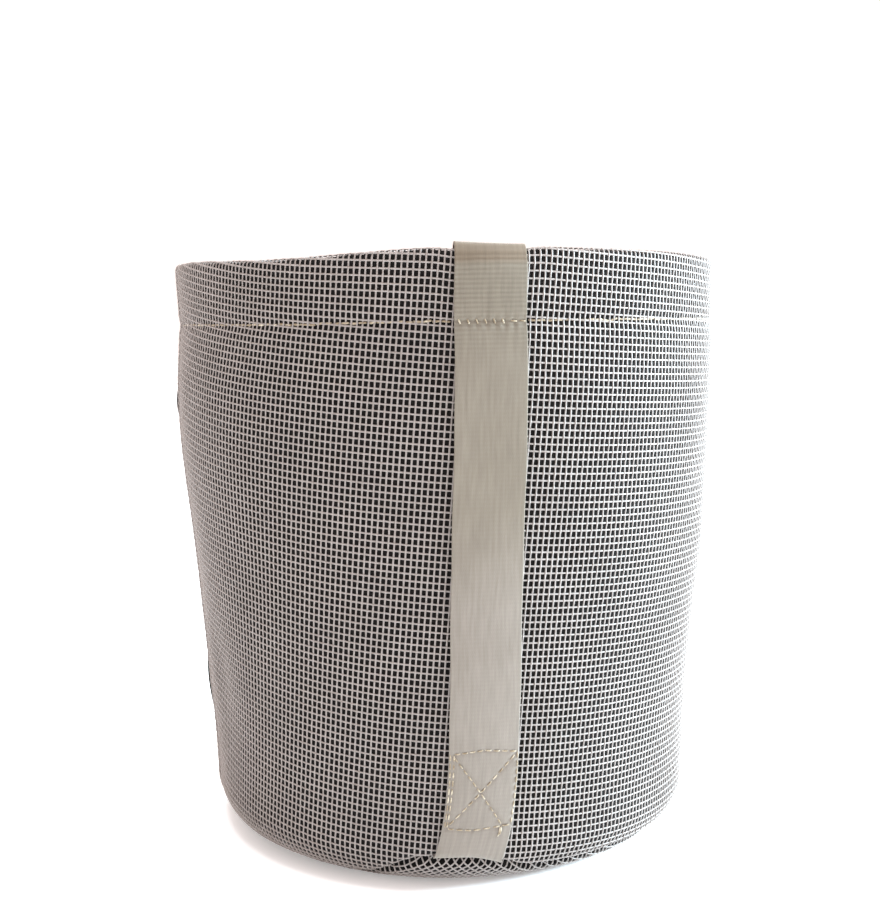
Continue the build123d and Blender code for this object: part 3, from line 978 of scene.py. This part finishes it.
def split_run(start, end, pitch, cover=0.8):
    """Stitch starts and ends along a straight run in a surface's own coordinates."""
    start, end = np.array(start, float), np.array(end, float)
    count = max(1, round(float(np.linalg.norm(end - start)) / pitch))
    lows = (np.arange(count) + (1 - cover) / 2) / count
    highs = lows + cover / count
    return start + (end - start) * lows[:, None], start + (end - start) * highs[:, None]


def ring_stitches(length_of, first, last, radius, rise, dip, width=THREAD_WIDTH):
    """Stitches round the bag between two azimuths, along a line of given profile length."""
    count = max(1, round((last - first) * radius / STITCH_PITCH))
    lows = first + (last - first) * (np.arange(count) + 0.05) / count
    highs = lows + (last - first) * 0.9 / count
    wander = 0.16 * MM * rng.standard_normal((count, 2))
    starts = np.stack([lows, length_of(lows) + wander[:, 0]], axis=1)
    ends = np.stack([highs, length_of(highs) + wander[:, 1]], axis=1)
    return stitch_tubes(cloth, starts, ends, rise, dip, width)


def on_strap(centre):
    """The outer face of a strap as a place for stitches: (across, height, out) to points."""

    def place(across, z, out):
        length = outside_length(z)
        dent = face_relief(across, length)
        return strap_surface(centre, across, length, out + dent + WEBBING_THICKNESS / 2)

    return place


def level_line(length):
    """A line at one profile length all round, as ring_stitches takes it."""

    def length_of(azimuth):
        return np.full_like(azimuth, length)

    return length_of


def strap_crossing():
    """The eight hem stitches over a strap: pulled down tight at first, then two that lie flat."""
    starts, ends = [], []
    for k in range(8):
        across = -HALF_WIDTH + 1.4 * MM + k * HEM_STEP
        tight = k < 6
        run = 0.7 * MM if tight else 2.3 * MM
        drop = 1.8 * MM if tight else 0.3 * MM
        starts.append((across, HEM_STITCH_HEIGHT + drop / 2))
        ends.append((across + run, HEM_STITCH_HEIGHT - drop / 2))
    return starts, ends


def hem_stitching():
    """One row through net and felt at the hem, out over each strap, and its underside inside."""
    outside = float(outside_length(HEM_STITCH_HEIGHT))
    inside = float(inside_length(HEM_STITCH_HEIGHT))
    half = (HALF_WIDTH + 1.2 * MM) / WAIST_RADIUS
    drift = float(strap_offset(np.array(HEM_STITCH_HEIGHT))) / WAIST_RADIUS
    rise, dip = -0.15 * MM, 0.3 * MM
    parts = []
    for centre in (FRONT, REAR):
        first = centre + drift + half
        last = centre + drift + math.pi - half
        for line in (level_line(outside), level_line(inside)):
            parts.append(ring_stitches(line, first, last, WAIST_RADIUS, rise, dip, HEM_THREAD_WIDTH))
        starts, ends = strap_crossing()
        place = on_strap(centre)
        parts.append(stitch_tubes(place, starts, ends, rise=0.3 * MM, dip=0.35 * MM, width=0.6 * MM))
    return joined(parts)


def box_stitching(centre, with_tail):
    """The box and cross at a strap's foot, and the thread tail left where it was finished."""
    parts = []
    for start, end in BOX_RUNS:
        row = split_run(start, end, BOX_PITCH)
        parts.append(stitch_tubes(on_strap(centre), *row, rise=0.24 * MM, dip=0.36 * MM))
    if with_tail:
        top = (BOX_EDGE - 3.7 * MM, BOX_BOTTOM + 0.1 * MM)
        tip = (BOX_EDGE - 3.9 * MM, BOX_BOTTOM - 3.6 * MM)
        for shift in (0, 0.35 * MM):
            start = (top[0] + shift, top[1])
            end = (tip[0] + 1.6 * shift, tip[1] + 2 * shift)
            parts.append(stitch_tubes(on_strap(centre), [start], [end], rise=0.55 * MM, dip=0.1 * MM))
    return joined(parts)


def on_lap(azimuth, length, out):
    """The outside of the lapped side seam, as a place for stitches."""
    return cloth(azimuth, length, out + lap_lift(azimuth, height_at(length)))


def side_seam_stitching():
    """Two upright rows through the lapped ends of the wall panel."""
    low = CORNER_LENGTH + CORNER_RADIUS * 1.3
    high = float(outside_length(HEM_STITCH_HEIGHT - 5 * MM))
    parts = []
    for azimuth in (-math.pi - 0.33 * LAP, -math.pi - 0.5 * LAP):
        starts, ends = split_run((azimuth, low), (azimuth, high), STITCH_PITCH)
        parts.append(stitch_tubes(on_lap, starts, ends, rise=0.3 * MM, dip=0.4 * MM))
    return joined(parts)


def base_seam_stitching():
    """The seam between wall and base, sunk in its groove."""
    radius = FOOT_RADIUS - CORNER_RADIUS / 3
    return ring_stitches(seam_length, -math.pi, math.pi, radius, rise=-0.25 * MM, dip=0.7 * MM)


stitch_pieces = {
    "hem_stitching": hem_stitching(),
    "front_box_stitching": box_stitching(FRONT, True),
    "rear_box_stitching": box_stitching(REAR, False),
    "side_seam_stitching": side_seam_stitching(),
    "base_seam_stitching": base_seam_stitching(),
}
threads = {name: make_piece(f"{name}_thread", *made, THREAD) for name, made in stitch_pieces.items()}


# ---- Bodies and replaced nodes ----

for piece, node, slot in (
    (wall_net, "outer_wall_mesh", "coated_mesh"),
    (base_net, "outer_base_mesh", "coated_mesh"),
    (liner_wall, "liner_wall", "felt"),
    (liner_base, "liner_base", "felt"),
    *((threads[name], name, "thread") for name in threads),
):
    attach(piece, "root")
    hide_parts(node)

for side_name, side in (("front", -1), ("rear", 1)):
    upper = strap_pieces[f"{side_name}_strap_upper"]
    lower = strap_pieces[f"{side_name}_strap_lower"]
    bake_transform(upper)
    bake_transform(lower)
    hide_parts(f"{side_name}_strap_top", f"{side_name}_handle_grip")
    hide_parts(f"{side_name}_strap_foot")


# ---- Floor, light and camera ----


def floor():
    """A plain white floor with a faint glow, which keeps the shadow on it as light as the photo's."""
    n = Nodes("white_floor")
    shade = n.noise(n.coordinates.outputs["Object"], 3.0, 2.0)
    n.link(n.ramp(shade, (0.3, (0.94,) * 3), (0.7, (0.95,) * 3)), n.shader.inputs["Base Color"])
    n.shader.inputs["Roughness"].default_value = 0.9
    n.shader.inputs["Emission Color"].default_value = (1.0, 1.0, 1.0, 1.0)
    n.shader.inputs["Emission Strength"].default_value = 0.27
    half = 6.0
    corners = [(-half, -half, 0), (half, -half, 0), (half, half, 0), (-half, half, 0)]
    mesh = bpy.data.meshes.new("floor")
    mesh.from_pydata(corners, [], [(0, 1, 2, 3)])
    mesh.materials.append(n.material)
    plane = bpy.data.objects.new("floor", mesh)
    bpy.context.scene.collection.objects.link(plane)


def area_light(name, place, target, size, power, colour):
    """A round soft light at a place, aimed at a target."""
    data = bpy.data.lights.new(name, "AREA")
    data.shape = "DISK"
    data.size = size
    data.energy = power
    data.color = colour
    light = bpy.data.objects.new(name, data)
    light.location = place
    light.rotation_euler = (Vector(target) - Vector(place)).to_track_quat("-Z", "Y").to_euler()
    bpy.context.scene.collection.objects.link(light)


def studio():
    """An even, slightly warm surround, a strong cool light from the right and one from above."""
    world = bpy.data.worlds.new("studio")
    world.use_nodes = True
    background = world.node_tree.nodes["Background"]
    background.inputs["Color"].default_value = (1.2, 1.05, 1.01, 1)
    background.inputs["Strength"].default_value = 1.0
    bpy.context.scene.world = world
    middle = (0, 0, 0.5 * RIM_HEIGHT)
    area_light("key", (1.5, -0.13, 0.55), middle, size=0.6, power=106, colour=(0.76, 0.97, 1.09))
    area_light("top", (0, 0, 1.7), middle, size=1.2, power=32, colour=(0.95, 1.0, 1.03))
    bpy.context.scene.view_settings.view_transform = "Standard"


def camera():
    """At the height of the wall's upper part, a little left of the front strap, tipped slightly down."""
    azimuth = math.radians(-7.0)
    distance = 554.7 * MM
    eye_height = 210.6 * MM
    data = bpy.data.cameras.new("camera")
    data.sensor_width = 36.0
    data.lens = 51.6
    data.clip_start = 0.02
    eye = bpy.data.objects.new("camera", data)
    eye.location = (distance * math.sin(azimuth), -distance * math.cos(azimuth), eye_height)
    pitch, roll, yaw = math.radians(84.3), math.radians(0.7), azimuth + math.radians(0.23)
    eye.rotation_euler = (pitch, roll, yaw)
    bpy.context.scene.collection.objects.link(eye)
    bpy.context.scene.camera = eye


floor()
studio()
camera()
